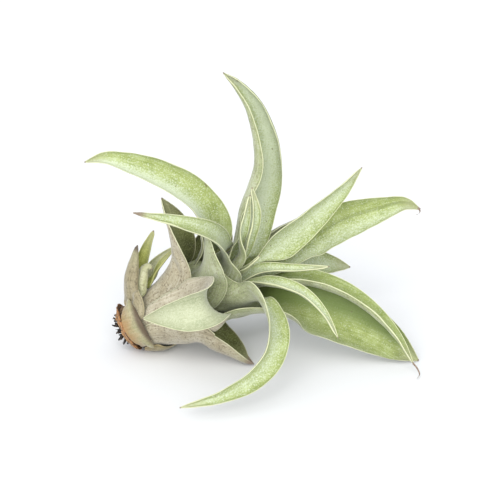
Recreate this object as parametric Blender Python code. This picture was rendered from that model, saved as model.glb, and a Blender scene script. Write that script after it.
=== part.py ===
# An air plant, Tillandsia capitata: a rosette of thick channelled leaves lying
# on its side, with its dried root end to the left and the open heart of the
# rosette to the right. Every leaf is a solid of its own, seated on the stem.
# Its sheath wraps the stem inside the sheaths of the older leaves, and its
# blade opens into a trough, curls away and runs out to a point.
import math
import random
from dataclasses import dataclass

import bmesh
import bpy
import numpy as np
from mathutils import Matrix, Vector
from mathutils.bvhtree import BVHTree

# Sizes and places are in millimetres. The origin is on the surface, under the
# middle of the plant's box. X runs from the root end to the heart, Y away from
# the side that the plant shows, and Z up.
MM = 0.001
ROOT = np.array([-64.0, 8.5, 13.0])
AXIS_RISE = 27.0
AXIS_SWING = 3.0

BASE_THICKNESS = 1.1
TIP_THICKNESS = 0.7
TIP_HALF_WIDTH = 0.3
SEAT_GAP = 0.3
SHEATH_GAP = 0.45
SHARP_ANGLE = 50.0
NEST_END = 90.0
NEST_RADIUS = 30.0
NEST_PASSES = 2
MIDRIB_STEPS = 96
CURVE_STEPS = 24
RESTING_LEAF = "scale_under"

# How a leaf changes along its length. A share of the clasp is there at the seat
# itself, and the rest follows within the first part of the leaf. The sheath may
# flare by a tenth, and the blade is fully open a little past the throat.
SEAT_CLASP = 0.8
SEAT_RUN = 0.1
FLARE = 1.1
OPEN_END = 1.15
TURN = (0.35, 1.1)
TIP_FOLD = (0.05, 0.45)

# The stem's outline, as (distance along the axis, radius). It narrows as each
# younger leaf takes its seat.
STEM = [
    (-4.0, 8.4), (-2.5, 10.4), (-0.5, 11.2), (1.5, 10.4), (3.0, 9.2), (4.5, 8.6), (6.0, 8.2),
    (10.0, 7.6), (16.0, 7.3), (20.0, 6.3), (24.0, 5.0), (28.0, 3.6), (34.0, 2.3), (38.0, 1.8),
    (42.0, 1.2), (47.0, 0.6),
]
STEM_SIDES = 20

# The papery ring that the oldest, lost leaves leave round the root end.
COLLAR = [(-5.0, 1.2), (-4.0, 1.8), (-2.5, 1.9), (-1.7, 1.5)]
COLLAR_SIDES = 36
COLLAR_RAGGED = 0.7

# The root end: a low pad on the stem's cut face, and the stubs that stand on it.
PAD_RADIUS = 8
PAD_END_RADIUS = 7
PAD_THICKNESS = 1.2
PAD_SIDES = 14
STUBS = 22
STUB_SPREAD = 6.4
STUB_RADIUS = 1.05
STUB_END_RADIUS = 0.63
STUB_SIDES = 6
STUB_LENGTH = (2.8, 5.0)
STUB_LEAN = (20.0, 72.0)
STUB_SEED = 4
GOLDEN_ANGLE = 137.5


@dataclass
class Leaf:
    """A leaf. Angles are in degrees. Round the axis, 0 is up and 90 is the side that the plant shows."""

    name: str
    around: float
    sheath: list
    blade: list
    clasp: float
    width: float
    fold: float = 55.0
    tip_fold: float = 0.0
    throat: float = 0.35
    hug: float = 0.5
    taper: float = 2.0
    twist: tuple = (0.0, 0.0)
    face: tuple = ()
    turn: tuple = ()
    reach: float = 4.0
    rows: int = 16
    cols: int = 6
    look: str = "leaf_green"


# The leaves, from the oldest and outermost in. A sheath's points are (distance
# along the axis, distance out from it), and a blade's are places in the frame.
OUTER_LEAVES = [
    Leaf(
        "scale_side", 74, [(-1.2, 12.6), (3, 15), (6, 16.3), (9, 17.3)], [],
        clasp=55, width=16, fold=55, tip_fold=44, throat=0.35, hug=0.9, taper=3, rows=10, cols=12,
        look="leaf_old",
    ),
    Leaf(
        "pup_bract", 39, [(3.2, 12.4), (6.4, 13.9)], [(-66.5, 4.5, 34.5), (-64, 5.5, 46), (-60, 6.5, 58)],
        clasp=31, width=7, fold=75, throat=0.4, taper=1.6, face=((0.8, 0.6, 0), (0.8, 0.6, 0)),
        rows=12, look="leaf_old",
    ),
    Leaf(
        "scale_under", 195, [(-1, 13.5), (5, 16.6), (12, 19.4), (19, 21.6)], [],
        clasp=68, width=12, fold=50, throat=0.6, taper=1.6, rows=10, cols=10, look="leaf_old",
    ),
    Leaf(
        "leaf_low_front", 148, [(0.3, 11.8), (6, 14.4), (14, 17.2), (22, 20), (29, 22)],
        [(-22, -3.5, 6.2), (-14, -7.5, 4.2), (-7.5, -10.5, 2.2), (-2, -11.5, 0.8)],
        clasp=70, width=19, fold=78, throat=0.5, hug=0.75, taper=1.7, face=((0.4, 0.1, 0.85), (0.4, 0.1, 0.8)),
        cols=8, look="leaf_old",
    ),
    Leaf(
        "leaf_back_prop", 255, [(1.5, 10.9), (8, 14), (16, 17.5), (24, 20.5)],
        [(-36, 38.5, 22), (-40, 50.5, 17), (-44, 60.5, 9), (-46, 68.5, 0.8)],
        clasp=33, width=12, throat=0.45, look="leaf_old",
    ),
    Leaf(
        "leaf_folded_back", 86, [(2.5, 10.2), (6, 12.1), (14, 15), (22, 17.5), (33, 21)],
        [(-24, -25, 41), (-25.5, -32, 41.3), (-32.5, -35, 39.8), (-44, -31.5, 36.5), (-56, -24.5, 32)],
        clasp=41, width=12.8, fold=80, tip_fold=40, throat=0.55, hug=0.6, taper=1.3, twist=(-16, -8),
        reach=9, rows=20, cols=8, look="leaf_old",
    ),
    Leaf(
        "pup_spear", 343, [(5.5, 13.6), (10, 15.8)], [(-58.5, 15.5, 45), (-56, 16.5, 53), (-52.5, 17.5, 61.5)],
        clasp=8, width=4.3, fold=60, throat=0.3, taper=2, face=((-0.3, -0.9, 0.3), (-0.3, -0.9, 0.3)),
        rows=10, cols=4,
    ),
    Leaf(
        "pup_leaf_upper", 320, [(7, 12), (11, 14.6)], [(-55, 20.5, 38.5), (-50, 20.5, 45), (-43, 21.5, 51)],
        clasp=8, width=3.5, throat=0.3, taper=1.6, face=((0.3, -0.5, 0.8), (0.3, -0.5, 0.8)),
        rows=10, cols=4,
    ),
    Leaf(
        "pup_rolled", 8, [(6.5, 13), (11, 15)],
        [(-59.2, 6.5, 40), (-57.4, 6.4, 45.2), (-54.9, 6, 46.8), (-53, 5.6, 45)],
        clasp=10, width=4.3, fold=90, throat=0.27, taper=3, face=((0.6, 0.7, 0), (0.3, 0.6, -0.7)),
        rows=12,
    ),
    Leaf(
        "pup_leaf_lower", 357, [(9, 14), (13, 15.3)], [(-54, 11.5, 39.5), (-49, 11.5, 46), (-43, 12.5, 53)],
        clasp=7, width=3, fold=60, throat=0.3, taper=1.6, face=((0.3, -0.2, 0.8), (0.3, -0.2, 0.8)),
        rows=10, cols=4,
    ),
    Leaf(
        "leaf_short_upright", 15, [(4, 9.3), (10, 11.6), (22, 15.6)],
        [(-43.5, 3.5, 49.5), (-42, 3.5, 57.5), (-42, 4.5, 66), (-44, 5.5, 75), (-47.5, 6.5, 83)],
        clasp=78, width=18.5, fold=75, throat=0.42, hug=0.25, taper=1.4,
        face=((1, -0.05, 0.1), (0.6, -0.8, 0.3)), reach=9, cols=10, look="leaf_old",
    ),
]

MIDDLE_LEAVES = [
    Leaf(
        "leaf_back_high", 276, [(6, 8.6), (12, 12), (20, 15), (30, 17.5)],
        [(-26, 31, 44.5), (-22, 33.5, 51), (-20, 34, 57), (-20, 33.5, 62)],
        clasp=27, width=11, fold=40, throat=0.55, hug=0.8, taper=5,
        face=((0.2, -0.9, 0.3), (0.2, -0.9, 0.3)), rows=14, look="leaf_old",
    ),
    Leaf(
        "leaf_back_low", 238, [(6, 8.6), (12, 12.2), (20, 15.5), (30, 18)],
        [(-18, 30.5, 16), (2, 40.5, 16), (22, 48.5, 12), (40, 54.5, 6)],
        clasp=15, width=12, throat=0.4, rows=14,
    ),
    Leaf(
        "leaf_broad_low_right", 168, [(8, 8.3), (12, 11), (22, 14), (32, 16.8), (42, 18.3)],
        [(3.5, 0.5, 26), (21.5, 3, 23.4), (41.5, 1.5, 18.2), (61.5, -2, 10.7), (81, -7.5, 0.85)],
        clasp=47, width=17, fold=50, throat=0.4, taper=4, turn=(0.36, 0.6),
        face=((-0.1, -0.5, 0.85), (-0.1, -0.75, 0.65)), rows=18,
    ),
    Leaf(
        "leaf_inner_top", 340, [(9, 8.1), (14, 10.7), (22, 13), (34, 16), (44, 17.5)],
        [(-27.5, 14.5, 54.5), (-28.5, 16.5, 61)],
        clasp=28, width=8, fold=50, throat=0.6, taper=5, rows=12, cols=4,
    ),
    Leaf(
        "leaf_long_left", 50, [(11, 7.9), (16, 9.6), (22, 11.4), (34, 14.3)],
        [
            (-28.5, -4.5, 46), (-26.5, -5.5, 54), (-25.5, -5.5, 61), (-24, -4.5, 69.5),
            (-26, -3.5, 80), (-34, -3.5, 90.5), (-47, -3.5, 98.5), (-61.5, -3.5, 104),
            (-73.5, -2.5, 106.5), (-83.5, -1.5, 104),
        ],
        clasp=62, width=9, fold=60, throat=0.5, hug=0.7, taper=2.4,
        face=((0.7, -0.7, 0.1), (0, -0.9, 0.45)), rows=22,
    ),
    Leaf(
        "leaf_front_hook", 112, [(18, 7.9), (32, 11.2), (44, 13.3), (54, 18.5)],
        [
            (-1, -18.5, 41), (4.5, -27.5, 38), (8, -39.5, 31.5), (5.5, -49.5, 23),
            (-3, -57.5, 15.5), (-19, -65.5, 10.5), (-36.5, -68.5, 7),
        ],
        clasp=72, width=8.5, fold=62, throat=0.3, hug=0.75, taper=2.2, turn=(0.28, 0.56),
        face=((0.8, -0.4, 0.5), (0.3, -0.85, 0.4)), rows=20,
    ),
    Leaf(
        "leaf_short_right", 242, [(16, 7.8), (22, 9.1), (36, 11.4), (48, 13.5)],
        [(14, 30.5, 35.5), (27.5, 42.5, 33), (40, 50.5, 29), (50, 54.5, 26)],
        clasp=37, width=9.5, fold=45, throat=0.4, taper=4, rows=14,
    ),
    Leaf(
        "leaf_slim_left", 36, [(21, 6.4), (28, 8), (36, 9.4), (48, 10.8)],
        [
            (-18, 2.5, 50.5), (-17.5, -4.5, 60), (-19, -12.5, 68), (-23.5, -19.5, 75),
            (-31.5, -24.5, 80), (-41.5, -27.5, 84), (-50.5, -28.5, 86.5), (-58.5, -29.5, 88.5),
        ],
        clasp=78, width=7.7, fold=62, throat=0.4, hug=0.7, taper=1.5, turn=(0.3, 0.5),
        face=((1, -0.3, 0.3), (0, -0.8, 0.6)), rows=22, cols=8,
    ),
    Leaf(
        "leaf_back_right", 300, [(21, 6.4), (28, 8.4), (36, 10.2), (47, 12.5)],
        [(2, 30.5, 51), (14, 40.5, 54.5), (27.5, 50.5, 58)],
        clasp=20, width=6.5, throat=0.3, rows=12,
    ),
]

HEART_LEAVES = [
    Leaf(
        "leaf_low_right", 218, [(24, 5.4), (30, 7.8), (36, 9.3), (50, 11.5)],
        [
            (8.5, 11.5, 35.2), (25.5, 8.5, 36.2), (43.5, 2.5, 32.5), (58.5, -4.5, 24.5),
            (69.5, -12.5, 15), (77, -20.5, 5),
        ],
        clasp=40, width=10.5, fold=62, throat=0.4, face=((0.3, 0, 0.95), (0.35, 0.05, 0.93)),
        rows=18,
    ),
    Leaf(
        "leaf_broad_right", 268, [(27, 4.4), (31, 6), (38, 7.7), (50, 9.5)],
        [(9, 22.5, 42), (27, 28.5, 52), (45, 32.5, 61), (63, 34.5, 66.5), (75, 34.5, 69.5), (83.5, 33.5, 67)],
        clasp=42, width=12, throat=0.42, hug=0.7, taper=3, face=((-0.3, -0.9, 0.4), (0.1, -0.93, 0.37)),
        rows=18,
    ),
    Leaf(
        "leaf_tall", 312, [(30, 3.5), (34, 4.7), (42, 6.3), (50, 7.6), (58, 9.5)],
        [
            (-9, 21.9, 60), (-5.2, 25.6, 71), (-0.3, 26.5, 86), (1.6, 24.5, 100),
            (0.1, 22.5, 114.5), (-4.2, 19.5, 127.5), (-10.2, 16.5, 137), (-17, 12.5, 144.5),
        ],
        clasp=73, width=15.5, fold=80, tip_fold=125, throat=0.36, hug=0.7, taper=2.4,
        face=((0.7, -0.7, 0.1), (0.15, -0.9, 0.35)), reach=6, rows=22, cols=8,
    ),
    Leaf(
        "leaf_spear_up_right", 278, [(38.5, 1.9), (41, 3), (46, 4.4), (56, 6.6)],
        [(3, 14, 49.5), (16, 17.5, 58.5), (28.5, 19.5, 69), (41, 19.5, 81), (51.5, 17.5, 95)],
        clasp=35, width=9.5, throat=0.42, hug=0.7, taper=1.7,
    ),
    Leaf(
        "leaf_slim_right", 150, [(36, 2.4), (46, 4.8), (54, 6.5)],
        [
            (2, -5.5, 42), (13, -11.5, 43.5), (23, -15.5, 40.5), (31, -19.5, 34),
            (36, -21.5, 26.5), (39, -23.5, 21),
        ],
        clasp=45, width=5.5, fold=60, throat=0.3, face=((0.2, -0.3, 0.9), (0.4, -0.3, 0.9)), cols=4,
    ),
    Leaf(
        "leaf_small_right", 175, [(40, 2), (48, 3), (56, 4.6)],
        [(2, 7, 43.7), (16, 4.5, 46), (26, 3.5, 47), (35.5, 2.5, 48)],
        clasp=45, width=5, fold=60, throat=0.3, taper=1.4, face=((-0.1, -0.5, 0.85), (-0.1, -0.5, 0.85)),
        rows=12, cols=4,
    ),
    Leaf(
        "leaf_lance_left", 23, [(39, 2.2), (50, 4.6)],
        [(-9.5, 6, 52.5), (-8.6, 4.5, 63), (-5.9, 5.5, 74), (-4, 6.5, 84.5)],
        clasp=38, width=5.2, fold=60, throat=0.3, turn=(0.45, 0.8), face=((0.75, -0.8, 0.1), (0.7, -0.85, 0.1)),
        rows=12, cols=4,
    ),
    Leaf(
        "leaf_lance_right", 334, [(46.5, 0.8), (51, 1.9)],
        [(-7.9, 10.8, 52.3), (-4.3, 8.5, 62), (-1, 8.3, 73.5), (-3, 9, 87.5)],
        clasp=24, width=4.4, fold=68, throat=0.3, turn=(0.4, 0.75), face=((0.65, -0.8, 0), (0.45, -1, 0)),
        rows=12, cols=4,
    ),
    Leaf(
        "leaf_bud", 105, [(46.5, 1.4), (52, 2.2)], [(-6, 3.5, 46), (-2.5, 2.5, 50.5), (1, 2.5, 54)],
        clasp=28, width=2.5, fold=60, throat=0.3, twist=(0, 90), rows=8, cols=4,
    ),
]

# Colours are linear red, green and blue.
LOOKS = {
    "leaf_green": ((0.42, 0.52, 0.27), 0.75),
    "leaf_old": ((0.40, 0.39, 0.28), 0.8),
    "stem_bark": ((0.16, 0.10, 0.05), 0.9),
    "dry_paper": ((0.42, 0.22, 0.10), 0.85),
    "root_bark": ((0.03, 0.025, 0.02), 0.9),
}


def unit(v):
    v = np.asarray(v, float)
    return v / np.linalg.norm(v)


def smooth(x):
    x = np.clip(x, 0.0, 1.0)
    return x * x * (3 - 2 * x)


def axis_directions():
    """The plant's axis, the way up from it, and the way towards the side that shows."""
    rise, swing = math.radians(AXIS_RISE), math.radians(AXIS_SWING)
    axis = np.array([math.cos(rise) * math.cos(swing), math.cos(rise) * math.sin(swing), math.sin(rise)])
    up = unit(np.array([0.0, 0.0, 1.0]) - axis * axis[2])
    return axis, up, np.cross(axis, up)


AXIS, UP, NEAR = axis_directions()


def outward(around):
    angle = math.radians(around)
    return math.cos(angle) * UP + math.sin(angle) * NEAR


def on_plant(along, out, around):
    return ROOT + AXIS * along + outward(around) * out


def plant_place(points):
    """Distance along the axis, distance out from it, and the outward direction, of each point."""
    away = points - ROOT
    along = away @ AXIS
    away = away - along[..., None] * AXIS
    out = np.linalg.norm(away, axis=-1)
    return along, out, away / np.maximum(out, 1e-6)[..., None]


def stem_radius(along):
    return np.interp(along, [t for t, _ in STEM], [r for _, r in STEM], right=0.0)


def curve_span(p):
    """The centripetal Catmull-Rom span from p[1] to p[2]."""
    t = np.cumsum([0.0] + [math.sqrt(np.linalg.norm(b - a)) for a, b in zip(p[:-1], p[1:])])
    x = np.linspace(t[1], t[2], CURVE_STEPS, endpoint=False)[:, None]

    def mix(a, b, start, end):
        return a * (end - x) / (end - start) + b * (x - start) / (end - start)

    first = [mix(p[k], p[k + 1], t[k], t[k + 1]) for k in range(3)]
    second = [mix(first[k], first[k + 1], t[k], t[k + 2]) for k in range(2)]
    return mix(second[0], second[1], t[1], t[2])


def curve_through(points, count):
    """A smooth line through the points, cut into count equal steps."""
    p = np.array(points, float)
    p = np.vstack([2 * p[0] - p[1], p, 2 * p[-1] - p[-2]])
    line = np.vstack([curve_span(p[k:k + 4]) for k in range(len(p) - 3)] + [p[-2:-1]])
    run = np.concatenate([[0.0], np.cumsum(np.linalg.norm(np.diff(line, axis=0), axis=1))])
    even = np.linspace(0.0, run[-1], count + 1)
    return np.stack([np.interp(even, run, line[:, k]) for k in range(3)], axis=1)


def carried_normals(tangents, first):
    """first, carried along the line without twisting round it."""
    normals = []
    for tangent in tangents:
        first = unit(first - tangent * (first @ tangent))
        normals.append(first)
    return np.array(normals)


def midrib(leaf):
    """The leaf's midrib, with its tangents and the normals of its upper face."""
    seat = [on_plant(along, out, leaf.around) for along, out in leaf.sheath]
    line = curve_through(seat + [np.array(p, float) for p in leaf.blade], MIDRIB_STEPS)
    tangents = np.gradient(line, axis=0)
    tangents /= np.linalg.norm(tangents, axis=1)[:, None]
    return line, tangents, carried_normals(tangents, -outward(leaf.around))


def turned_normals(leaf, tangents, normals, s, u):
    """Turns the upper face about the midrib, by the leaf's twist and to the way that its blade faces."""
    first, last = leaf.twist
    turn = np.radians(first * smooth(s / leaf.throat) + (last - first) * smooth(u))
    side = np.cross(tangents, normals)
    if leaf.face:
        ease = smooth(u)[:, None]
        want = unit(leaf.face[0]) * (1 - ease) + unit(leaf.face[1]) * ease
        angle = np.unwrap(np.arctan2((want * side).sum(axis=1), (want * normals).sum(axis=1)))
        start, end = leaf.turn or (TURN[0] * leaf.throat, TURN[1] * leaf.throat)
        angle -= 2 * math.pi * round(angle[np.argmax(s >= end)] / (2 * math.pi))
        turn = turn + angle * smooth((s - start) / (end - start))
    return normals * np.cos(turn)[:, None] + side * np.sin(turn)[:, None]


def cross_sections(leaf, line, s, u):
    """The half width and half angle of the arc that the leaf's section follows, along the midrib."""
    fold = math.radians(leaf.fold)
    grip = math.radians(leaf.clasp) * (SEAT_CLASP + (1 - SEAT_CLASP) * smooth(s / SEAT_RUN))
    hugging = grip * np.minimum(plant_place(line)[1], FLARE * leaf.sheath[-1][1])
    opening = leaf.hug * leaf.throat
    blend = smooth((s - opening) / (OPEN_END * leaf.throat - opening))
    width = hugging + (leaf.width - hugging) * blend
    width = width * (1 - u ** leaf.taper) + TIP_HALF_WIDTH * u ** leaf.taper
    angle = grip + (fold - grip) * blend
    if leaf.tip_fold:
        start, end = TIP_FOLD
        angle = angle + (math.radians(leaf.tip_fold) - fold) * smooth((u - start) / (end - start))
    return np.maximum(width, TIP_HALF_WIDTH), angle


def leaf_sheet(leaf):
    """The leaf's upper face as rows of points from base to tip, with the normals there."""
    line, tangents, normals = midrib(leaf)
    s = np.linspace(0.0, 1.0, MIDRIB_STEPS + 1)
    u = np.clip((s - leaf.throat) / (1 - leaf.throat), 0.0, 1.0)
    normals = turned_normals(leaf, tangents, normals, s, u)
    sides = np.cross(tangents, normals)
    width, angle = cross_sections(leaf, line, s, u)

    def rows(values):
        at = np.linspace(0.0, 1.0, leaf.rows + 1)
        return np.stack([np.interp(at, s, v) for v in values.T], axis=1)[:, None, :]

    line, normals, sides = rows(line), rows(normals), rows(sides)
    width, angle = rows(width[:, None]), rows(angle[:, None])
    phi = np.linspace(-1.0, 1.0, leaf.cols + 1)[None, :, None] * angle
    sheet = line + width / angle * (np.sin(phi) * sides + (1 - np.cos(phi)) * normals)
    return sheet, np.cos(phi) * normals - np.sin(phi) * sides


def neighbours(field):
    """A field with its eight shifted copies, so that a cell can be set against those round it."""
    wide = np.pad(field, 1, mode="edge")
    rows, cols = field.shape
    return np.stack([wide[i:i + rows, j:j + cols] for i in range(3) for j in range(3)])


def spread(push):
    """Takes a field of pushes one cell past its edge, then eases it out without lowering it."""
    push = neighbours(push).max(axis=0)
    for _ in range(2):
        push = np.maximum(push, neighbours(push).mean(axis=0))
    return push


def room_inside(point_along, away, older):
    """How far out from the axis the nearest older leaf is, at a place along it and a direction."""
    start = Vector(ROOT + AXIS * point_along)
    hits = [tree.ray_cast(start, Vector(away), NEST_RADIUS)[3] for tree in older]
    return min([hit for hit in hits if hit is not None], default=math.inf)


def midway(grid):
    """A grid of points with one more put midway between each two, down its rows and across them."""
    for _ in range(2):
        full = np.repeat(grid, 2, axis=0)[:-1]
        full[1::2] = (grid[:-1] + grid[1:]) / 2
        grid = full.swapaxes(0, 1)
    return grid


def pushes(points, older, reach):
    """How far each point within reach of an older leaf has to move towards the axis to clear it."""
    along, out, away = plant_place(midway(points))
    push = np.zeros_like(out)
    for at in np.ndindex(out.shape):
        if along[at] < NEST_END and out[at] < NEST_RADIUS:
            need = out[at] + SHEATH_GAP - room_inside(along[at], away[at], older)
            if 0 < need < reach:
                push[at] = need
    return neighbours(push).max(axis=0)[::2, ::2]


def nested(upper, lower, older, reach):
    """Slides a leaf's sheath towards the axis wherever an older leaf would touch it."""
    for _ in range(NEST_PASSES):
        push = spread(np.maximum(pushes(upper, older, reach), pushes(lower, older, reach)))
        along, out, away = plant_place(upper)
        push = np.clip(push, 0.0, np.maximum(out - stem_radius(along) - SEAT_GAP, 0.0))
        upper = upper - away * push[..., None]
        lower = lower - away * push[..., None]
    return upper, lower


def new_object(name, bm, look):
    """Turns a bmesh in millimetres into an object in metres with its material."""
    bmesh.ops.triangulate(bm, faces=bm.faces[:])
    bmesh.ops.recalc_face_normals(bm, faces=bm.faces[:])
    bmesh.ops.scale(bm, vec=(MM, MM, MM), verts=bm.verts[:])
    mesh = bpy.data.meshes.new(name)
    bm.to_mesh(mesh)
    bm.free()
    mesh.shade_smooth()
    mesh.set_sharp_from_angle(angle=math.radians(SHARP_ANGLE))
    mesh.materials.append(MATERIALS[look])
    obj = bpy.data.objects.new(name, mesh)
    bpy.context.scene.collection.objects.link(obj)
    return obj


def leaf_bmesh(leaf, upper, lower):
    """A slab of grid cells whose two sides are laid on the leaf's upper and lower faces."""
    bm = bmesh.new()
    bmesh.ops.create_grid(bm, x_segments=leaf.cols, y_segments=leaf.rows, size=1.0)
    bmesh.ops.triangulate(bm, faces=bm.faces[:])
    slab = bmesh.ops.extrude_face_region(bm, geom=bm.faces[:], use_keep_orig=True)
    under = [v for v in slab["geom"] if isinstance(v, bmesh.types.BMVert)]
    bmesh.ops.translate(bm, verts=under, vec=(0.0, 0.0, -1.0))
    for v in bm.verts:
        row = round((v.co.y + 1) / 2 * leaf.rows)
        col = round((v.co.x + 1) / 2 * leaf.cols)
        v.co = upper[row, col] if v.co.z > -0.5 else lower[row, col]
    return bm


def add_leaf(leaf, older):
    upper, normals = leaf_sheet(leaf)
    depth = np.linspace(BASE_THICKNESS, TIP_THICKNESS, leaf.rows + 1)[:, None, None]
    upper, lower = nested(upper, upper - normals * depth, older, leaf.reach)
    bm = leaf_bmesh(leaf, upper, lower)
    if leaf.name == RESTING_LEAF:
        flatten_underside(bm)
    bmesh.ops.recalc_face_normals(bm, faces=bm.faces[:])
    older.append(BVHTree.FromBMesh(bm))
    return new_object(leaf.name, bm, leaf.look)


def flatten_underside(bm):
    """Cuts the flat spot that the plant rests on, at the height of the surface."""
    cut = bmesh.ops.bisect_plane(
        bm, geom=bm.verts[:] + bm.edges[:] + bm.faces[:], plane_co=(0, 0, 0), plane_no=(0, 0, -1),
        clear_outer=True,
    )
    rim = [e for e in cut["geom_cut"] if isinstance(e, bmesh.types.BMEdge)]
    bmesh.ops.contextual_create(bm, geom=rim)


def turned(outline, sides, closed):
    """Spins an outline of (distance along, radius) round the plant's axis."""
    bm = bmesh.new()
    verts = [bm.verts.new(on_plant(along, radius, 0.0)) for along, radius in outline]
    ends = list(zip(verts[:-1], verts[1:]))
    if closed:
        ends.append((verts[-1], verts[0]))
    edges = [bm.edges.new(pair) for pair in ends]
    bmesh.ops.spin(
        bm, geom=verts + edges, cent=ROOT, axis=AXIS, angle=2 * math.pi, steps=sides, use_merge=True,
    )
    bmesh.ops.remove_doubles(bm, verts=bm.verts[:], dist=0.001)
    return bm


def add_stem():
    """The short woody stem, closed at both ends."""
    outline = [(STEM[0][0], 0.0)] + STEM + [(STEM[-1][0], 0.0)]
    return new_object("stem", turned(outline, STEM_SIDES, closed=False), "stem_bark")


def ragged(angle):
    """How far the collar's torn edge stands out at an angle round the axis, from -1 to 1."""
    return 0.5 * math.sin(3 * angle + 0.6) + 0.3 * math.sin(7 * angle) + 0.2 * math.sin(12 * angle + 1.1)


def add_collar():
    """The papery collar: a thin ring behind the first leaves, torn along its outer edge."""
    inner = [(along, stem_radius(along) + SEAT_GAP) for along, _ in COLLAR]
    outer = [(along, stem_radius(along) + SEAT_GAP + thick) for along, thick in reversed(COLLAR)]
    bm = turned(inner + outer, COLLAR_SIDES, closed=True)
    for v in bm.verts:
        along, out, away = plant_place(np.array(v.co))
        over = out - stem_radius(along) - 2 * SEAT_GAP
        if over > 0:
            v.co += Vector(away) * COLLAR_RAGGED * ragged(math.atan2(away @ NEAR, away @ UP))
    return new_object("dry_collar", bm, "dry_paper")


def turned_to(direction):
    """The rotation that takes +Z to a direction."""
    return Vector(direction).to_track_quat("Z", "X").to_matrix().to_4x4()


def cone(name, base, direction, length, radius, top, sides):
    """A closed cone from a base point, as an object of its own."""
    bm = bmesh.new()
    middle = Vector(base) + Vector(direction) * length / 2
    matrix = Matrix.Translation(middle) @ turned_to(direction)
    bmesh.ops.create_cone(
        bm, cap_ends=True, segments=sides, radius1=radius, radius2=top, depth=length, matrix=matrix,
    )
    return new_object(name, bm, "root_bark")


def add_roots():
    """The root pad on the stem's cut face, with the stubs joined to it."""
    rng = random.Random(STUB_SEED)
    face = STEM[0][0] - SEAT_GAP
    pad = cone("roots", on_plant(face, 0.0, 0.0), -AXIS, PAD_THICKNESS, PAD_RADIUS, PAD_END_RADIUS, PAD_SIDES)
    stubs = bpy.data.collections.new("stubs")
    for k in range(STUBS):
        around = k * GOLDEN_ANGLE
        out = STUB_SPREAD * math.sqrt((k + 0.5) / STUBS)
        lean = math.radians(rng.uniform(*STUB_LEAN)) * out / PAD_RADIUS
        base = on_plant(face - PAD_THICKNESS / 2, out, around)
        direction = -AXIS * math.cos(lean) + outward(around) * math.sin(lean)
        length = rng.uniform(*STUB_LENGTH)
        stub = cone(f"stub_{k}", base, direction, length, STUB_RADIUS, STUB_END_RADIUS, STUB_SIDES)
        bpy.context.scene.collection.objects.unlink(stub)
        stubs.objects.link(stub)
    join_collection(pad, stubs)
    return pad


def join_collection(obj, collection):
    """Unites an object with a collection's objects, which are then removed."""
    union = obj.modifiers.new("join", "BOOLEAN")
    union.operation = "UNION"
    union.operand_type = "COLLECTION"
    union.collection = collection
    union.solver = "EXACT"
    graph = bpy.context.evaluated_depsgraph_get()
    mesh = bpy.data.meshes.new_from_object(obj.evaluated_get(graph))
    obj.modifiers.clear()
    obj.data = mesh
    mesh.name = obj.name
    for other in list(collection.objects):
        bpy.data.objects.remove(other)
    bpy.data.collections.remove(collection)


def material(name, color, roughness):
    mat = bpy.data.materials.new(name)
    mat.use_nodes = True
    shader = mat.node_tree.nodes["Principled BSDF"]
    shader.inputs["Base Color"].default_value = (*color, 1.0)
    shader.inputs["Roughness"].default_value = roughness
    shader.inputs["Metallic"].default_value = 0.0
    mat.diffuse_color = (*color, 1.0)
    return mat


for old in list(bpy.data.objects):
    bpy.data.objects.remove(old)
MATERIALS = {name: material(name, color, roughness) for name, (color, roughness) in LOOKS.items()}
add_stem()
add_collar()
add_roots()
placed = []
for each in OUTER_LEAVES + MIDDLE_LEAVES + HEART_LEAVES:
    add_leaf(each, placed)
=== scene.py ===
# Dressing of an air plant, Tillandsia capitata: a rosette of thick channelled
# leaves that lies on its side. Each leaf is grown again on a fine grid, where its
# solid lies, with rounded margins, pleats, creases and a silver bloom of scales.
import math
import random
from dataclasses import dataclass

import bmesh
import bpy
import numpy as np
from mathutils import Matrix, Vector, noise


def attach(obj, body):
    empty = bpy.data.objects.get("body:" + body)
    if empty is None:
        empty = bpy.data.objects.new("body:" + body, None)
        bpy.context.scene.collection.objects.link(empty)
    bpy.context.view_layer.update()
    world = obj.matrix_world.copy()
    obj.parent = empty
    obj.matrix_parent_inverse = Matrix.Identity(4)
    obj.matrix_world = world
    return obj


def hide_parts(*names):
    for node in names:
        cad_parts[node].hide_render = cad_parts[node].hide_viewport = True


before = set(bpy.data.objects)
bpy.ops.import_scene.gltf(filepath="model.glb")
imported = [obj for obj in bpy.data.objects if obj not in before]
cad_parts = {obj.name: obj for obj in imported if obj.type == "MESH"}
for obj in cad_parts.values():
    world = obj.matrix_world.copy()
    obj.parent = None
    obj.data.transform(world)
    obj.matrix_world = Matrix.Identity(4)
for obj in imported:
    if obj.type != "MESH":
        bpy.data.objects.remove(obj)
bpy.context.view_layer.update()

# The camera looks at the plant from 22 degrees above its side, from 0.7 m away,
# through a long lens.
AIM = Vector((-0.004, 0.0085, 0.0545))
CAMERA_DISTANCE = 0.7
CAMERA_ELEVATION = math.radians(22)
LENS_MM = 100.8
SENSOR_MM = 36
camera_data = bpy.data.cameras.new("camera")
camera_data.lens = LENS_MM
camera_data.sensor_width = SENSOR_MM
camera = bpy.data.objects.new("camera", camera_data)
bpy.context.scene.collection.objects.link(camera)
towards_camera = Vector((0, -math.cos(CAMERA_ELEVATION), math.sin(CAMERA_ELEVATION)))
camera.location = AIM + CAMERA_DISTANCE * towards_camera
camera.rotation_euler = (math.pi / 2 - CAMERA_ELEVATION, 0, 0)
bpy.context.scene.camera = camera

# Stem: short and woody, narrowing from the root end to the heart. Only a little
# of it shows between the leaves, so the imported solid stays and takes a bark.
MM = 0.001
ROOT = np.array([-64.0, 8.5, 13.0])
AXIS_RISE = 27.0
AXIS_SWING = 3.0
PLANT_IOR = 1.45
SHEEN_ROUGHNESS = 0.5


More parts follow.
